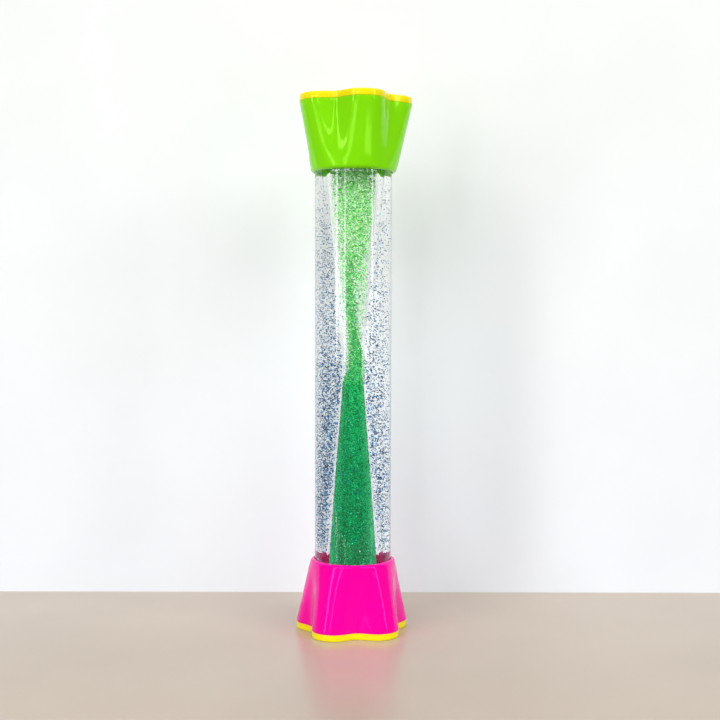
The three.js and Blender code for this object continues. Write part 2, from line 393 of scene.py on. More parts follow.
# %% Moulded skin node group
def moulded_skin_group():
    """Shade, dullness and ripple of a moulded surface."""
    group = bpy.data.node_groups.new("moulded_skin", "ShaderNodeTree")
    grain = group.interface.new_socket("Grain", in_out="INPUT", socket_type="NodeSocketFloat")
    grain.default_value = 1.0
    for name in ("Shade", "Dullness", "Ripple"):
        group.interface.new_socket(name, in_out="OUTPUT", socket_type="NodeSocketFloat")
    nodes, links = group.nodes, group.links
    entry = nodes.new("NodeGroupInput")
    leave = nodes.new("NodeGroupOutput")
    sized = nodes.new("ShaderNodeVectorMath")
    sized.operation = "SCALE"
    links.new(own_place(nodes), sized.inputs[0])
    links.new(entry.outputs["Grain"], sized.inputs["Scale"])
    for name, scale, detail in (("Shade", 28, 3.0), ("Dullness", 90, 5.0), ("Ripple", 240, 2.0)):
        noise = nodes.new("ShaderNodeTexNoise")
        preset(noise, {"Scale": scale, "Detail": detail})
        links.new(sized.outputs["Vector"], noise.inputs["Vector"])
        links.new(noise.outputs["Fac"], leave.inputs[name])
    return group


moulded_skin = moulded_skin_group()
print("node group", moulded_skin.name)

# %% Plastics
wall_depth = 0.003
ripple_strength = 0.05
ripple_depth = 0.0004
shade_spread = 0.04
polished_share = 0.8
handled_share = 1.6
bore_gloss = 0.03


def grey(value):
    """A grey of one level."""
    return (value, value, value)


def shades(colour, spread):
    """A darker and a lighter shade of a colour."""
    return [tuple(c * (1 - spread) for c in colour), tuple(min(1, c * (1 + spread)) for c in colour)]


def plastic(name, colour, roughness, shine=(1, 1, 1), glow_through=0.0, gloss=0.5):
    """Moulded plastic with the shared skin, a tinted shine and some light passing through its wall."""
    material, nodes, links, shader = start_material(name)
    skin = nodes.new("ShaderNodeGroup")
    skin.node_tree = moulded_skin
    dark, light = shades(colour, shade_spread)
    tint = ramp(nodes, links, skin.outputs["Shade"], [(0.3, dark), (0.7, light)])
    links.new(tint, shader.inputs["Base Color"])
    polished, handled = grey(roughness * polished_share), grey(roughness * handled_share)
    dull = ramp(nodes, links, skin.outputs["Dullness"], [(0.35, polished), (0.75, handled)])
    links.new(dull, shader.inputs["Roughness"])
    bumped(nodes, links, shader, skin.outputs["Ripple"], ripple_strength, ripple_depth)
    preset(shader, {"Specular IOR Level": gloss, "Specular Tint": (*shine, 1)})
    preset(shader, {"Subsurface Weight": glow_through, "Subsurface Scale": wall_depth})
    preset(shader, {"Subsurface Radius": (1, 1, 1)})
    return material


lime_plastic = plastic("lime_plastic", (0.25, 0.775, 0.0045), 0.08, (0.55, 1.0, 0.12), 0.6)
pink_plastic = plastic("pink_plastic", (0.95, 0.001, 0.35), 0.08, (1.0, 0.08, 0.75), 0.25)
# Darker copies of the lime and pink plastics for the bores: painted shade inside the collars.
lime_shaded_bore = plastic("lime_shaded_bore", (0.2, 0.72, 0.002), 0.6, glow_through=0.4, gloss=bore_gloss)
pink_shaded_bore = plastic("pink_shaded_bore", (0.36, 0.0003, 0.075), 0.6, gloss=bore_gloss)
yellow_plastic = plastic("yellow_plastic", (0.95, 0.8, 0.008), 0.12, (1.0, 0.9, 0.25), 0.4)
print("plastics made")

# %% [markdown]
# ## Caps
# Each cap is a shell that is round where it grips the tube and flares into five lobes at its wide end. It
# is turned round first, at the middle radius of its lobes. Then each point moves in or out: fully at the
# wide end, less towards the collar, and not at all in the bore.

# %% Caps
cap_low, cap_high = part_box("bottom_cap")
cap_height = cap_high.z - cap_low.z
tube_low, tube_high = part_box("outer_tube")
tube_radius = tube_high.x
collar_clearance = 0.0003
collar_bore = tube_radius + collar_clearance
shell_wall = 0.0022
collar_radius = collar_bore + shell_wall
valley_step = 0.0016
lobe_depth = 0.0073
valley_radius = collar_radius + valley_step
tip_radius = valley_radius + lobe_depth
lobe_count = 5
lobe_fullness = 0.00043
lobe_middle = (tip_radius + valley_radius) / 2 + lobe_fullness
lobe_swing = lobe_depth / 2
collar_land = 0.012
lip_radius = 0.002
edge_radius = 0.00025
seam_fill = 0.00015
bottom_turn = math.radians(41.5)
top_turn = math.radians(15)
lobe_steps = 300
skin_rings = 12


def skin_radius(above):
    """Middle radius of the cap's skin at a height above its wide end."""
    return collar_radius + (1 - above / cap_height) * (lobe_middle - collar_radius)


def push_lobes(piece, turn, base, upside_down, round_inside):
    """Move the points outside a round core in and out, so that lobes grow towards the cap's wide end."""
    ends = (base, base + cap_height)
    wide_end, narrow_end = [overall_height - z for z in ends] if upside_down else ends
    points = points_of(piece)
    radius = np.hypot(points[:, 0], points[:, 1])
    angle = np.arctan2(points[:, 0], -points[:, 1])
    share = np.clip((narrow_end - points[:, 2]) / (narrow_end - wide_end), 0, 1)
    turns = lobe_count * (angle - turn)
    push = share * (lobe_swing * np.cos(turns) - lobe_fullness * np.cos(2 * turns))
    push[radius < round_inside] = 0
    points[:, 0] += push * np.sin(angle)
    points[:, 1] -= push * np.cos(angle)
    set_points(piece, points)
    return finish_shell(piece)


def stand(outline, base, upside_down):
    """Lift an outline to its base, and turn it over for the top end."""
    lifted = [(radius, base + height) for radius, height in outline]
    return [(radius, overall_height - height) for radius, height in lifted] if upside_down else lifted


def cap(name, turn, upside_down, material, shaded_bore_material):
    """Lobed shell with a rounded lip at the collar, a fine round along its wide edge and a bore in a darker
    copy of its plastic, as painted shade.
    """
    land = cap_height - collar_land
    lip = cap_height - lip_radius
    edge_middle = (skin_radius(0) - edge_radius, edge_radius - seam_fill)
    outline = arc(edge_middle, edge_radius, -90, 0, 4)
    for i in range(1, skin_rings):
        above = edge_radius + (lip - edge_radius) * i / skin_rings
        outline.append((skin_radius(above), above))
    outline += arc((skin_radius(cap_height) - lip_radius, lip), lip_radius, 0, 90, 8)
    outline += arc((collar_bore + edge_radius, cap_height - edge_radius), edge_radius, 90, 180, 4)
    outline += [(collar_bore, land), (skin_radius(land) - shell_wall, land)]
    outline += [(skin_radius(0) - shell_wall, -seam_fill), outline[0]]
    piece = turned(name, stand(outline, cap_low.z, upside_down), lobe_steps)
    push_lobes(piece, turn, cap_low.z, upside_down, collar_bore + 2 * edge_radius)
    # Faces inside the collar take the darker copy, painted shade in the bore.
    shaded_bore_limit = collar_bore + edge_radius / 4
    paint_faces(piece, [material, shaded_bore_material], lambda centre, normal: int(centre.xy.length < shaded_bore_limit))
    return piece


pink_cap = cap("pink_cap", bottom_turn, False, pink_plastic, pink_shaded_bore)
lime_cap = cap("lime_cap", top_turn, True, lime_plastic, lime_shaded_bore)
print("caps", len(pink_cap.data.polygons), len(lime_cap.data.polygons), "faces")

# %% [markdown]
# ## Plates
# A flat yellow plate closes each cap's wide end, flush with the lobes, and is what the toy stands on. A
# thin lip on it locates the cap and a ring in the middle carries the tube's plug. Both are hidden by the
# cap.

# %% Plates
plate_thickness = 0.0038
plate_edge_radius = 0.0008
plate_lip_height = 0.003
plate_lip_wall = 0.0015
plate_ring_wall = 0.002
seat_gap = 0.0003
tube_wall = 0.002
tube_bore = tube_radius - tube_wall
plate_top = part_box("bottom_plate")[1].z


def plate(name, turn, upside_down):
    """Lobed plate with a rounded edge, a locating lip and a ring under the plug."""
    rim = skin_radius(0)
    lip_outside = rim - shell_wall - seat_gap
    lip_inside = lip_outside - plate_lip_wall
    lip_top = plate_thickness + plate_lip_height
    ring_inside = tube_bore - plate_ring_wall
    outline = [(0, 0), (tube_bore, 0)]
    outline += arc((rim - plate_edge_radius, plate_edge_radius), plate_edge_radius, -90, 0, 6)
    outline += arc((rim - edge_radius, plate_thickness - edge_radius), edge_radius, 0, 90, 4)
    outline += [(lip_outside, plate_thickness), (lip_outside, lip_top)]
    outline += [(lip_inside, lip_top), (lip_inside, plate_thickness)]
    outline += [(tube_bore, plate_thickness), (tube_bore, plate_top)]
    outline += [(ring_inside, plate_top), (ring_inside, plate_thickness), (0, plate_thickness)]
    piece = turned(name, stand(outline, 0, upside_down), lobe_steps)
    push_lobes(piece, turn, plate_thickness, upside_down, tube_bore + seat_gap)
    piece.data.materials.append(yellow_plastic)
    return piece


bottom_plate = plate("yellow_bottom_plate", bottom_turn, False)
top_plate = plate("yellow_top_plate", top_turn, True)
print("plates", len(bottom_plate.data.polygons), "faces each")

# %% [markdown]
# ## Clear finishes
# Where a clear solid touches a liquid, light bends by the ratio of the two. The tube and the liquid
# behind it bend light alike, so that face is left straight. The vessel has one ratio on its outside and
# another on its inside. A true shadow would need many samples here, so lamps shine straight through and
# light the glitter.

# %% Clear finishes
jacket_liquid_index = 1.45
vessel_index = 1.57
vessel_liquid_index = 1.38
soaked_index = 1.5
matched_index = 1.0
streak_scale = 180
streak_stretch = (1, 1, 0.04)
wave_depth = 0.0002
tube_wave = 0.02
dusty_level = 0.07
clear_level = 0.18
clear_bounces = 32
soft_bounces = 8


def clear(name, index, dull_tint, bright_tint, wave=0, deep_tint=(1, 1, 1)):
    """Clear plastic or liquid, with faint drawn streaks and a tint low down, that lets lamps through."""
    material, nodes, links, shader = start_material(name)
    streaks = object_noise(nodes, links, streak_scale, 2.0, streak_stretch)
    tint = ramp(nodes, links, streaks.outputs["Fac"], [(0.3, dull_tint), (0.7, bright_tint)])
    depth = by_height(nodes, links, dusty_level, clear_level, [(0.0, deep_tint), (1.0, (1, 1, 1))])
    links.new(multiplied(nodes, links, tint, depth), shader.inputs["Base Color"])
    preset(shader, {"Roughness": 0.0, "IOR": index, "Transmission Weight": 1.0})
    if wave:
        bumped(nodes, links, shader, streaks.outputs["Fac"], wave, wave_depth)
    path = nodes.new("ShaderNodeLightPath")
    see_through_where(nodes, links, shader, path.outputs["Is Shadow Ray"])
    return material


faint = (grey(0.985), grey(1.0))
tube_outside = clear("tube_clear_plastic", jacket_liquid_index, grey(0.993), grey(1.0), tube_wave)
wetted_face = clear(
    "wetted_face", matched_index, (0.99, 0.998, 1.0), (0.996, 1.0, 1.0), deep_tint=(0.972, 0.995, 1.0))
vessel_outside = clear("vessel_outside", vessel_index / jacket_liquid_index, *faint)
vessel_inside = clear("vessel_inside", vessel_index / vessel_liquid_index, *faint)
vessel_soaked = clear("vessel_beside_glitter", vessel_index / soaked_index, *faint)
free_surface = clear("clear_liquid_surface", jacket_liquid_index, *faint)
green_surface = clear("green_liquid_surface", vessel_liquid_index, (0.9, 0.97, 0.9), (0.95, 1.0, 0.95))
green_film = clear("green_liquid", matched_index, (0.955, 0.99, 0.95), (0.975, 1.0, 0.965))
scene.cycles.max_bounces = clear_bounces
scene.cycles.transmission_bounces = clear_bounces
scene.cycles.transparent_max_bounces = clear_bounces
scene.cycles.diffuse_bounces = soft_bounces
print("clear finishes made")

# %% [markdown]
# ## Tube and vessel
# The tube is one drawn length, and the vessel is two moulded cones joined at the waist. Both are turned
# with a real wall, because light bends at each face of it. Each face then takes its finish by its place:
# outside, inside, or against a neighbour that bends light alike.

# %% Tube and vessel
tube_steps = 240
tube_rings = 24
side_slope = 0.5
vessel_foot_radius = 0.0125
vessel_foot_bore = 0.010
vessel_neck_radius = 0.0065
vessel_neck_bore = 0.004
vessel_end = 0.024
foot_top = 0.038
waist = overall_height / 2
waist_round = 0.010
flare_rings = 36
joint_rings = 4
joint_gap = 0.00001
film = 0.00005
bed_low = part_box("inner_glitter")[0].z
vessel_liquid_low, vessel_liquid_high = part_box("inner_liquid")
bed_top = vessel_liquid_low.z


def flare(height, foot, neck):
    """Radius of the hourglass at a height: a smooth waist between two straight flares."""
    reach = math.hypot(waist - foot_top, waist_round) - waist_round
    rise = math.hypot(min(abs(height - waist), waist - foot_top), waist_round) - waist_round
    return neck + (foot - neck) * rise / reach


def vessel_outer(height):
    """Outside radius of the vessel at a height."""
    return flare(height, vessel_foot_radius, vessel_neck_radius)


def vessel_inner(height):
    """Inside radius of the vessel at a height."""
    return flare(height, vessel_foot_bore, vessel_neck_bore)


def heights(low, high, count=flare_rings):
    """Even heights from low to high."""
    return [low + (high - low) * i / count for i in range(count + 1)]


def tube_piece():
    """Plain clear tube, whose bore is wetted by the liquid."""
    low, high = tube_low.z, tube_high.z
    levels = heights(low, high, tube_rings)
    outline = [(tube_radius, z) for z in levels] + [(tube_bore, z) for z in reversed(levels)]
    piece = turned("clear_tube", outline + outline[:1], tube_steps)
    middle = (tube_radius + tube_bore) / 2

    def choose(centre, normal):
        return int(centre.xy.length < middle and abs(normal.z) < side_slope)

    paint_faces(piece, [tube_outside, wetted_face], choose)
    return piece


def cone_piece(name, upside_down):
    """One half of the hourglass vessel, from its foot to the joint at the waist."""
    joint = waist - joint_gap
    levels = [vessel_end] + heights(foot_top, bed_top) + heights(bed_top, joint, joint_rings)[1:]
    outline = [(vessel_outer(z), z) for z in levels] + [(vessel_inner(z), z) for z in reversed(levels)]
    piece = turned(name, stand(outline + outline[:1], 0, upside_down), tube_steps)

    def choose(centre, normal):
        if abs(centre.z - waist) < 2 * joint_gap:
            return 2
        middle = (vessel_outer(centre.z) + vessel_inner(centre.z)) / 2
        if centre.xy.length > middle or abs(normal.z) > side_slope:
            return 0
        return 3 if centre.z < bed_top else 1

    paint_faces(piece, [vessel_outside, vessel_inside, wetted_face, vessel_soaked], choose)
    return piece


clear_tube = tube_piece()
lower_vessel = cone_piece("lower_vessel", False)
upper_vessel = cone_piece("upper_vessel", True)
print("tube and vessel", len(clear_tube.data.polygons), len(lower_vessel.data.polygons), "faces")

# %% [markdown]
# ## Liquids
# A liquid is a body with a surface of its own. It could share its faces with the wall, but two faces in
# one place flicker, so each liquid stops a hair's breadth short of the wall and bends no light there.

# %% Liquids
jacket_low, jacket_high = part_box("outer_liquid")
level_slope = 0.9


def surface_or_side(centre, normal):
    """Slot 0 for a level surface and slot 1 for a face against a wall."""
    return int(abs(normal.z) < level_slope)


def jacket_liquid_piece():
    """Clear liquid between the tube and the vessel."""
    levels = heights(jacket_low.z, jacket_high.z)
    outline = [(tube_bore - film, z) for z in levels]
    outline += [(vessel_outer(z) + film, z) for z in reversed(levels)]
    piece = turned("jacket_liquid", outline + outline[:1], tube_steps)
    paint_faces(piece, [free_surface, wetted_face], surface_or_side)
    return piece


def vessel_liquid_piece():
    """Pale green liquid in the upper half of the vessel."""
    levels = heights(bed_top, vessel_liquid_high.z)
    outline = [(0, bed_top)] + [(vessel_inner(z) - film, z) for z in levels] + [(0, vessel_liquid_high.z)]
    piece = turned("vessel_liquid", outline, tube_steps)
    side_top = vessel_liquid_high.z - film
    paint_faces(piece, [green_surface, green_film], lambda centre, normal: int(centre.z < side_top))
    return piece


jacket_liquid = jacket_liquid_piece()
vessel_liquid = vessel_liquid_piece()
print("liquids", len(jacket_liquid.data.polygons), len(vessel_liquid.data.polygons), "faces")

# %% [markdown]
# ## Glitter
# Glitter is cut from foil in small hexagons, so thin that one six-sided face stands for a flake. One
# flake is modelled and copied at random places, sizes and turns into one mesh. Each copy carries a number
# of its own, and the material turns that number into a foil colour.

# %% Flake and its copies
def flake_shape():
    """One six-sided flake of unit width."""
    bpy.ops.object.select_all(action="DESELECT")
    bpy.ops.mesh.primitive_circle_add(vertices=6, radius=0.5, fill_type="NGON")
    piece = bpy.context.object
    corners = points_of(piece)
    faces = [list(face.vertices) for face in piece.data.polygons]
    bpy.data.objects.remove(piece)
    return corners, faces


flake_corners, flake_faces = flake_shape()


def facing(draw, normals):
    """Turns that lay each flake square to its normal, with a random spin."""
    ahead = normals / np.linalg.norm(normals, axis=1)[:, None]
    side = np.cross(ahead, draw.normal(size=normals.shape))
    side /= np.linalg.norm(side, axis=1)[:, None]
    return np.stack([side, np.cross(ahead, side), ahead], axis=2)


def scatter(name, draw, places, width_range, material, normals=None, shrink=1):
    """One mesh of flakes at these places, each with its own tone, laid at random or by normals."""
    count = len(places)
    widths = draw.uniform(*width_range, count) * shrink
    if normals is None:
        normals = draw.normal(size=places.shape)
    turns = facing(draw, normals)
    corners = np.einsum("nij,kj->nki", turns, flake_corners) * widths[:, None, None] + places[:, None, :]
    size = len(flake_corners)
    faces = [[i * size + corner for corner in face] for i in range(count) for face in flake_faces]
    mesh = bpy.data.meshes.new(name)
    mesh.from_pydata(corners.reshape(-1, 3).tolist(), [], faces)
    tone = mesh.attributes.new("tone", "FLOAT", "POINT")
    tone.data.foreach_set("value", np.repeat(draw.random(count), size).astype(np.float32))
    mesh.materials.append(material)
    piece = bpy.data.objects.new(name, mesh)
    scene.collection.objects.link(piece)
    return piece


print("flake with", len(flake_corners), "corners")

# %% [markdown]
# ## Foils
# Real glitter shines in several shades, because each flake mirrors something else. A picture of glitter
# would blur close up, so each flake takes one flat colour from a short list. The list for the imported bed
# has paler partners, painted light that brightens the bed's flanks where it is seen at a slant.

# %% Foils
# Painted light: how much paler a surface turns as it is seen more at a slant, towards its flanks.
flank_light_shares = [(0.12, grey(0.0)), (0.32, grey(0.35)), (0.58, grey(0.85)), (0.8, grey(1.0))]


def with_flank_light(nodes, links, colour, flank_lit):
    """Colour that turns into a paler one where the surface is seen at a slant: painted light on its flanks.
    """
    slant = nodes.new("ShaderNodeLayerWeight")
    preset(slant, {"Blend": 0.5})
    share = ramp(nodes, links, slant.outputs["Facing"], flank_light_shares)
    mix = nodes.new("ShaderNodeMix")
    mix.data_type = "RGBA"
    links.new(share, mix.inputs["Factor"])
    links.new(colour, mix.inputs["A"])
    links.new(flank_lit, mix.inputs["B"])
    return mix.outputs["Result"]


def foil(name, tones, roughness=0.35, metallic=0.0, gloss=0.3, flank_light_tones=None):
    """Glitter foil that takes one of several colours by each flake's tone, and may take painted light at a
    slant.
    """
    material, nodes, links, shader = start_material(name)
    tone = nodes.new("ShaderNodeAttribute")
    tone.attribute_name = "tone"
    colour = ramp(nodes, links, tone.outputs["Fac"], tones, "CONSTANT")
    if flank_light_tones:
        flank_lit = ramp(nodes, links, tone.outputs["Fac"], flank_light_tones, "CONSTANT")
        colour = with_flank_light(nodes, links, colour, flank_lit)
    links.new(colour, shader.inputs["Base Color"])
    preset(shader, {"Roughness": roughness, "Metallic": metallic, "Specular IOR Level": gloss})
    return material


blue_tones = [
    (0.0, (0.002, 0.02, 0.07)), (0.22, (0.002, 0.07, 0.21)), (0.45, (0.003, 0.13, 0.3)),
    (0.68, (0.004, 0.022, 0.05)), (0.78, (0.008, 0.2, 0.5)), (0.93, (0.2, 0.5, 0.75)),
    (0.98, (0.5, 0.8, 0.85))]
green_tones = [
    (0.0, (0.02, 0.28, 0.03)), (0.2, (0.14, 0.7, 0.12)), (0.48, (0.3, 0.88, 0.26)),
    (0.74, (0.5, 0.95, 0.38)), (0.88, (0.8, 0.97, 0.5)), (0.95, (0.95, 1.0, 0.85))]
stream_tones = [
    (0.0, (0.008, 0.27, 0.06)), (0.14, (0.045, 0.55, 0.14)), (0.5, (0.1, 0.68, 0.21)),
    (0.8, (0.28, 0.84, 0.35)), (0.94, (0.75, 0.98, 0.65))]
emerald_tones = [
    (0.0, (0.0002, 0.045, 0.012)), (0.3, (0.0003, 0.16, 0.042)), (0.58, (0.0005, 0.31, 0.085)),
    (0.86, (0.002, 0.5, 0.17)), (0.97, (0.08, 0.75, 0.42))]
# Paler partners of the emerald tones, painted light on the bed's flanks.
flank_lit_emerald_tones = [
    (0.0, (0.01, 0.35, 0.12)), (0.3, (0.03, 0.6, 0.2)), (0.58, (0.06, 0.82, 0.29)),
    (0.86, (0.12, 0.95, 0.4)), (0.97, (0.4, 1.0, 0.7))]
blue_foil = foil("blue_foil", blue_tones, metallic=0.1)
green_foil = foil("green_foil", green_tones)
stream_foil = foil("stream_foil", stream_tones)
emerald_foil = foil("emerald_foil", emerald_tones, 0.4, gloss=0.05, flank_light_tones=flank_lit_emerald_tones)
print("foils", [material.name for material in (blue_foil, green_foil, stream_foil, emerald_foil)])

# %% [markdown]
# ## Loose glitter in the jacket
# Blue flakes drift in the clear liquid and lie thickest low down. A particle system could place them.
# Places drawn from a seeded generator come out the same every time, and a rule of density thins them out
# where the toy shows few.

# %% Loose flakes in the jacket
jacket_seed = 11
jacket_flakes = 14800
jacket_flake_widths = (0.00074, 0.00116)
back_shrink = 0.5
fine_levels = (0.14, 0.24)
fine_sizes = (1.0, 0.8)
flake_clearance = 0.0002
jacket_levels = (0.035, 0.046, 0.052, 0.075, 0.103, 0.15, 0.19, 0.219, 0.253, 0.268)
jacket_shares = (0.03, 0.2, 0.95, 1.0, 0.9, 0.7, 0.42, 0.42, 0.25, 0.14)
middle_share = 0.66
left_lean = 0.26
front_spread = 1.45
front_share = 0.035
back_share = 0.38


def ring_places(draw, low, high, count, inner, outer, density):
    """Random places between two radii, kept more often where the density there is greater."""
    found = []
    while len(found) < count:
        height = low + (high - low) * draw.random()
        near, far = inner(height), outer(height)
        radius = math.sqrt(near * near + (far * far - near * near) * draw.random())
        angle = 2 * math.pi * draw.random()
        place = (radius * math.sin(angle), -radius * math.cos(angle), height)
        if draw.random() < density(place):
            found.append(place)
    return np.array(found)


def jacket_density(place):
    """Share of flakes kept: few at the top and before the vessel, most low down on the left."""
    level_share = float(np.interp(place[2], jacket_levels, jacket_shares))
    share = (middle_share - left_lean * place[0] / tube_bore) * level_share
    if place[1] > 0:
        return share * back_share
    return share * (front_share if abs(place[0]) < front_spread * vessel_inner(place[2]) else 1)


jacket_draw = np.random.default_rng(jacket_seed)
jacket_places = ring_places(
    jacket_draw, jacket_low.z, jacket_high.z, jacket_flakes,
    lambda z: vessel_outer(z) + flake_clearance, lambda z: tube_bore - flake_clearance, jacket_density)
jacket_depth = (1 + jacket_places[:, 1] / tube_bore) / 2
jacket_shrink = (1 - back_shrink * jacket_depth) * np.interp(jacket_places[:, 2], fine_levels, fine_sizes)
blue_flakes = scatter(
    "blue_flakes", jacket_draw, jacket_places, jacket_flake_widths, blue_foil, shrink=jacket_shrink)
print("jacket flakes", jacket_flakes)

# %% [markdown]
# ## Falling glitter in the vessel
# Green flakes fill the wide top of the vessel and draw together towards its neck, like sand in an
# hourglass. A fluid simulation would take long and be hard to steer. The same random draw is used
# instead, with a density that passes from a full cloud into a narrow stream.

# %% Falling flakes in the upper half of the vessel
fall_seed = 23
fall_flakes = 12000
fall_flake_widths = (0.0005, 0.0008)
cloud_low = 0.177
cloud_high = 0.235
cloud_lean = 2.2
core_spread = 0.0032
stray_share = 0.12
fall_middle_share = 0.8
fall_right_lean = 0.2
fall_low = 0.153
stream_path_levels = (0.143, 0.1465, 0.1508, 0.1554, 0.1595, 0.1641, 0.168, 0.197, 0.212, 0.24)
stream_path_shifts = (0.0, 0.00015, 0.0009, 0.0013, 0.00125, 0.0009, 0.0003, -0.0016, -0.0016, 0.0)


def stream_shift(height):
    """How far the stream wanders sideways at a height."""
    return float(np.interp(height, stream_path_levels, stream_path_shifts))


def fall_density(place):
    """Flakes fill the vessel's wide top, more so on the right, and gather into a stream at the neck."""
    level = place[2] + cloud_lean * place[0]
    fill = min(1.0, max(0.0, (level - cloud_low) / (cloud_high - cloud_low)))
    fill = fill * fill * (3 - 2 * fill)
    off_core = math.hypot(place[0] - stream_shift(place[2]), place[1]) / core_spread
    return fill + (1 - fill) * (stray_share + (1 - stray_share) * math.exp(-off_core * off_core))


def fall_share(place):
    """Density over even volume, because the vessel narrows downwards."""
    right_share = fall_middle_share + fall_right_lean * place[0] / vessel_foot_bore
    return right_share * fall_density(place) * (vessel_inner(place[2]) / vessel_foot_bore) ** 2


fall_draw = np.random.default_rng(fall_seed)
fall_places = ring_places(
    fall_draw, fall_low, vessel_liquid_high.z, fall_flakes,
    lambda z: 0.0, lambda z: vessel_inner(z) - flake_clearance, fall_share)
green_flakes = scatter("green_flakes", fall_draw, fall_places, fall_flake_widths, green_foil)
print("falling flakes", fall_flakes)

# %% [markdown]
# ## Stream through the neck
# In the neck the flakes crowd into a stream, which wanders a little sideways and lands on a mound. The
# crowd is drawn round the path of the stream, and a second draw covers the side of the mound.

# %% Stream through the neck
stream_seed = 31
stream_flake_count = 5000
stream_flake_widths = (0.00042, 0.0007)
stream_climb_power = 1.3
stream_flakes_high = 0.218
stream_spread_levels = (0.145, 0.155, 0.168, 0.218)
stream_spreads = (0.0024, 0.0017, 0.0012, 0.0019)
stream_core_levels = (0.143, 0.1465, 0.1508, 0.1554, 0.1595, 0.1641, 0.168, 0.176, 0.186)
stream_core_radii = (0.00385, 0.0037, 0.003, 0.0025, 0.0021, 0.0016, 0.0013, 0.0009, 0.0003)
mound_flake_count = 1800
mound_high = 0.17
mound_flake_spread = 0.0006


def core_radius(height):
    """Radius of the stream's core at a height."""
    return float(np.interp(height, stream_core_levels, stream_core_radii))


def mound_flake_places(draw):
    """Places just off the side of the mound under the neck."""
    height = stream_core_levels[0] + (mound_high - stream_core_levels[0]) * draw.random(mound_flake_count)
    angle = 2 * math.pi * draw.random(mound_flake_count)
    radius = np.array([core_radius(z) for z in height])
    radius += mound_flake_spread * np.abs(draw.normal(size=mound_flake_count))
    radius = np.minimum(radius, np.array([vessel_inner(z) for z in height]) - flake_clearance)
    shift = np.array([stream_shift(z) for z in height])
    return np.column_stack([radius * np.sin(angle) + shift, -radius * np.cos(angle), height])


def stream_flake_places(draw):
    """Places crowded round the stream, thinning out upwards."""
    climb = draw.random(stream_flake_count) ** stream_climb_power
    height = fall_low + (stream_flakes_high - fall_low) * climb
    spread = np.interp(height, stream_spread_levels, stream_spreads)
    offset = draw.normal(size=(stream_flake_count, 2)) * spread[:, None]
    reach = np.array([vessel_inner(z) for z in height]) - flake_clearance
    offset[:, 0] += [stream_shift(z) for z in height]
    far = np.hypot(offset[:, 0], offset[:, 1])
    offset *= np.minimum(1, reach / far)[:, None]
    return np.column_stack([offset, height])


stream_draw = np.random.default_rng(stream_seed)
stream_places = np.vstack([stream_flake_places(stream_draw), mound_flake_places(stream_draw)])
stream_flakes = scatter("stream_flakes", stream_draw, stream_places, stream_flake_widths, stream_foil)
print("stream flakes", len(stream_places))

# %% [markdown]
# ## Packed glitter
# Glitter that has run down lies packed against the wall. The flakes inside the pack can't be seen, so it
# is one solid with small cells of differing shade and tiny facets. Its colour is darker low down, and its
# flanks are painted paler, as light, where it is seen at a slant.

# %% Packed glitter finish
cell_dullness = [(0.0, grey(0.35)), (1.0, grey(0.6))]
cell_gloss = 0.05
facet_strength = 0.4
facet_depth = 0.0002
green_cell_scale = 1700
green_cell_shades = [(0.0, grey(0.3)), (0.6, grey(0.75)), (1.0, grey(1.0))]


def glitter_mass(name, tones, scale):
    """Packed glitter: small cells of differing shade with tiny facets."""
    material, nodes, links, shader = start_material(name)
    cells = nodes.new("ShaderNodeTexVoronoi")
    preset(cells, {"Scale": scale})
    links.new(own_place(nodes), cells.inputs["Vector"])
    split = nodes.new("ShaderNodeSeparateColor")
    links.new(cells.outputs["Color"], split.inputs["Color"])
    colour = ramp(nodes, links, split.outputs["Red"], tones)
    links.new(colour, shader.inputs["Base Color"])
    dull = ramp(nodes, links, split.outputs["Green"], cell_dullness)
    links.new(dull, shader.inputs["Roughness"])
    preset(shader, {"Specular IOR Level": cell_gloss})
    bumped(nodes, links, shader, cells.outputs["Distance"], facet_strength, facet_depth)
    return material, nodes, links, shader, colour


def graded_glitter(name, low, high, depths, flank_light_depths):
    """Packed glitter that changes with height, by (share of height, colour) stops, with painted light
    paling it at a slant.
    """
    material, nodes, links, shader, shade = glitter_mass(name, green_cell_shades, green_cell_scale)
    depth = by_height(nodes, links, low, high, depths)
    flank_lit = by_height(nodes, links, low, high, flank_light_depths)
    colour = multiplied(nodes, links, with_flank_light(nodes, links, depth, flank_lit), shade)
    links.new(colour, shader.inputs["Base Color"])
    return material


bed_depths = [
    (0.0, (0.0004, 0.18, 0.055)), (0.5, (0.0006, 0.3, 0.085)),
    (0.75, (0.002, 0.43, 0.115)), (1.0, (0.02, 0.68, 0.15))]
# Paler colours for the flanks of the bed and the stream: painted light.
flank_lit_bed_depths = [(0.0, (0.02, 0.75, 0.28)), (0.5, (0.08, 1.0, 0.36)), (1.0, (0.16, 1.0, 0.34))]
stream_depths = [
    (0.0, (0.02, 0.54, 0.13)), (0.18, (0.05, 0.54, 0.14)), (0.31, (0.08, 0.61, 0.165)),
    (0.47, (0.145, 0.71, 0.205)), (1.0, (0.25, 0.8, 0.28))]
flank_lit_stream_depths = [(0.0, (0.16, 1.0, 0.34)), (1.0, (0.4, 1.0, 0.4))]
stream_low, stream_high = stream_core_levels[0], stream_core_levels[-1]
emerald_mass = graded_glitter("emerald_glitter", bed_low, bed_top, bed_depths, flank_lit_bed_depths)
stream_mass = graded_glitter("stream_glitter", stream_low, stream_high, stream_depths, flank_lit_stream_depths)
print("packed glitter", emerald_mass.name, stream_mass.name)

# %% Stream core and packed bed
stream_steps = 32
stream_rings = 60
bed_steps = 120
bed_rings = 110
bed_gap_levels = (0.04, 0.093, 0.145)
bed_gaps = (0.0009, 0.00035, 0.00023)
bed_shoulder = 0.0006
shoulder_bend = 80


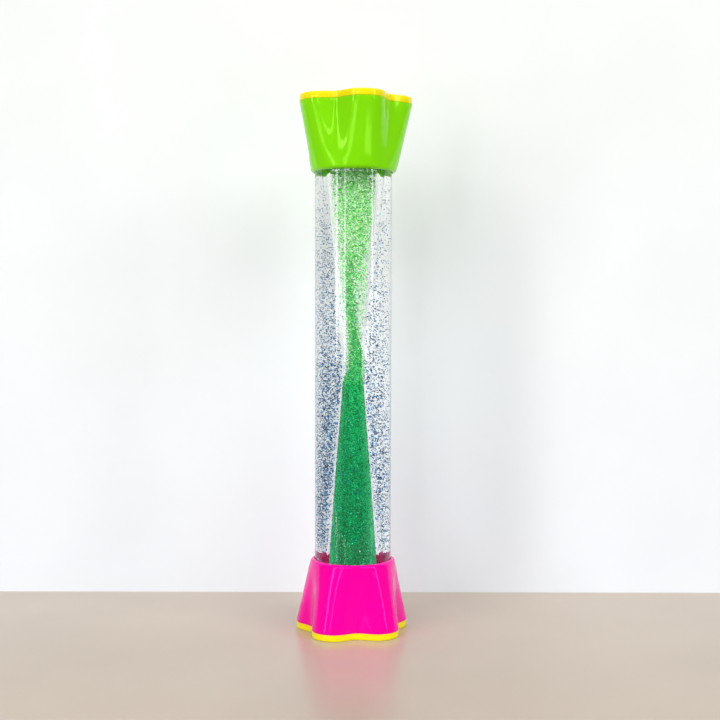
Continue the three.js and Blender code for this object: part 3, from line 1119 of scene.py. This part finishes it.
def stream_piece():
    """Core of the stream that runs down through the neck on to a mound of glitter."""
    levels = heights(stream_low, stream_high, stream_rings)
    outline = [(0, levels[0])] + [(core_radius(z), z) for z in levels] + [(0, levels[-1])]
    piece = turned("falling_stream", outline, stream_steps)
    points = points_of(piece)
    points[:, 0] += [stream_shift(z) for z in points[:, 2]]
    set_points(piece, points)
    piece.data.materials.append(stream_mass)
    return piece


def bed_radius(height):
    """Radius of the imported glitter, a little inside the vessel's wall."""
    return vessel_inner(height) - float(np.interp(height, bed_gap_levels, bed_gaps))


def bed_piece():
    """Glitter packed in the lower half of the vessel, with a rounded shoulder at its top."""
    side_top = bed_top - bed_shoulder
    outline = [(0, bed_low)] + [(bed_radius(z), z) for z in heights(bed_low, side_top, bed_rings)]
    top_radius = outline[-1][0] - bed_shoulder
    outline += arc((top_radius, side_top), bed_shoulder, 0, shoulder_bend, 5)
    outline.append((0, bed_top + bed_shoulder))
    piece = turned("packed_glitter", outline, bed_steps)
    piece.data.materials.append(emerald_mass)
    return piece


falling_stream = stream_piece()
packed_glitter = bed_piece()
print("stream and bed", len(falling_stream.data.polygons), len(packed_glitter.data.polygons), "faces")

# %% [markdown]
# ## Flakes on the face of the bed
# The outermost flakes of the pack lie nearly flat against the wall and glint one by one. A bump map can't
# do that, so these are real flakes again, laid just off the side of the bed and tilted a little at
# random.

# %% Flakes on the face of the bed
bed_seed = 47
bed_flake_count = 13000
bed_flake_widths = (0.0004, 0.0006)
bed_flake_tilt = 0.32
bed_flake_rise = 0.0001


def bed_flake_places(draw):
    """Places and outward normals just off the bed's side."""
    height = bed_low + (bed_top - bed_shoulder - bed_low) * draw.random(bed_flake_count)
    angle = 2 * math.pi * draw.random(bed_flake_count)
    radius = np.array([bed_radius(z) for z in height]) + bed_flake_rise * draw.random(bed_flake_count)
    outward = np.column_stack([np.sin(angle), -np.cos(angle), np.zeros(bed_flake_count)])
    places = outward * radius[:, None]
    places[:, 2] = height
    return places, outward + bed_flake_tilt * draw.normal(size=outward.shape)


bed_draw = np.random.default_rng(bed_seed)
bed_places, bed_normals = bed_flake_places(bed_draw)
bed_flakes = scatter("bed_flakes", bed_draw, bed_places, bed_flake_widths, emerald_foil, bed_normals)
print("bed flakes", bed_flake_count)

# %% [markdown]
# ## Hidden fittings
# Plugs, seals, stoppers, washers, pins and the settled blue glitter sit inside the caps. They could be
# turned again, but their solids already have the right shape, so they stay and only take a finish.

# %% Hidden fittings
bloom_scale = 260
bloom_spread = 0.25
rubber_roughness = 0.65
pore_scale = 2200
pore_spread = 0.12
foam_roughness = 0.9
blue_cell_scale = 1400
blue_cell_tones = [(0.0, (0.012, 0.03, 0.09)), (0.6, (0.04, 0.1, 0.25)), (1.0, (0.3, 0.45, 0.6))]


def rubber(name, colour):
    """Dull rubber with a powdery bloom."""
    material, nodes, links, shader = start_material(name)
    bloom = object_noise(nodes, links, bloom_scale, 4.0)
    dark, light = shades(colour, bloom_spread)
    tint = ramp(nodes, links, bloom.outputs["Fac"], [(0.35, dark), (0.7, light)])
    links.new(tint, shader.inputs["Base Color"])
    preset(shader, {"Roughness": rubber_roughness})
    return material


def foam(name, colour):
    """Closed-cell foam with small pores."""
    material, nodes, links, shader = start_material(name)
    pores = nodes.new("ShaderNodeTexVoronoi")
    preset(pores, {"Scale": pore_scale})
    links.new(own_place(nodes), pores.inputs["Vector"])
    dark, light = shades(colour, pore_spread)
    tint = ramp(nodes, links, pores.outputs["Distance"], [(0.0, dark), (0.4, light)])
    links.new(tint, shader.inputs["Base Color"])
    preset(shader, {"Roughness": foam_roughness})
    return material


white_plastic = plastic("white_plastic", (0.82, 0.84, 0.85), 0.3)
seal_rubber = rubber("seal_rubber", (0.03, 0.03, 0.035))
stopper_rubber = rubber("stopper_rubber", (0.6, 0.62, 0.64))
cushion_foam = foam("cushion_foam", (0.86, 0.86, 0.84))
blue_mass = glitter_mass("blue_glitter", blue_cell_tones, blue_cell_scale)[0]
fitting_finishes = {
    white_plastic: ("bottom_plug", "top_plug", "tube_fill_pin", "cone_fill_pin"),
    seal_rubber: ("bottom_seal", "top_seal"),
    stopper_rubber: ("bottom_stopper", "top_stopper"),
    cushion_foam: ("bottom_cushion", "top_cushion"),
    blue_mass: ("outer_glitter",),
}
for material, names in fitting_finishes.items():
    for name in names:
        mesh = nodes_by_name[name].data
        mesh.materials.clear()
        mesh.materials.append(material)
print("fittings finished")

# %% [markdown]
# ## Joining the frame
# Nothing in the toy moves by itself, so every piece rides on its one body. Each entry gives a piece, the
# finish that it takes and the solids of the imported model that it stands for, which are hidden.

# %% Joining the frame
pieces = [
    (pink_cap, "pink_plastic", ["bottom_cap"]),
    (lime_cap, "lime_plastic", ["top_cap"]),
    (bottom_plate, "yellow_plastic", ["bottom_plate"]),
    (top_plate, "yellow_plastic", ["top_plate"]),
    (clear_tube, "clear_plastic", ["outer_tube"]),
    (lower_vessel, "clear_plastic", ["lower_cone"]),
    (upper_vessel, "clear_plastic", ["upper_cone"]),
    (jacket_liquid, "clear_liquid", ["outer_liquid"]),
    (vessel_liquid, "green_liquid", ["inner_liquid"]),
    (packed_glitter, "green_glitter", ["inner_glitter"]),
    (falling_stream, "green_glitter", ["inner_glitter"]),
    (bed_flakes, "green_glitter", ["inner_glitter"]),
    (stream_flakes, "green_glitter", ["inner_glitter"]),
    (green_flakes, "green_glitter", ["inner_liquid"]),
    (blue_flakes, "blue_glitter", ["outer_liquid"]),
]
for piece, slot, stands_for in pieces:
    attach(piece, "root")
    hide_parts(*stands_for)
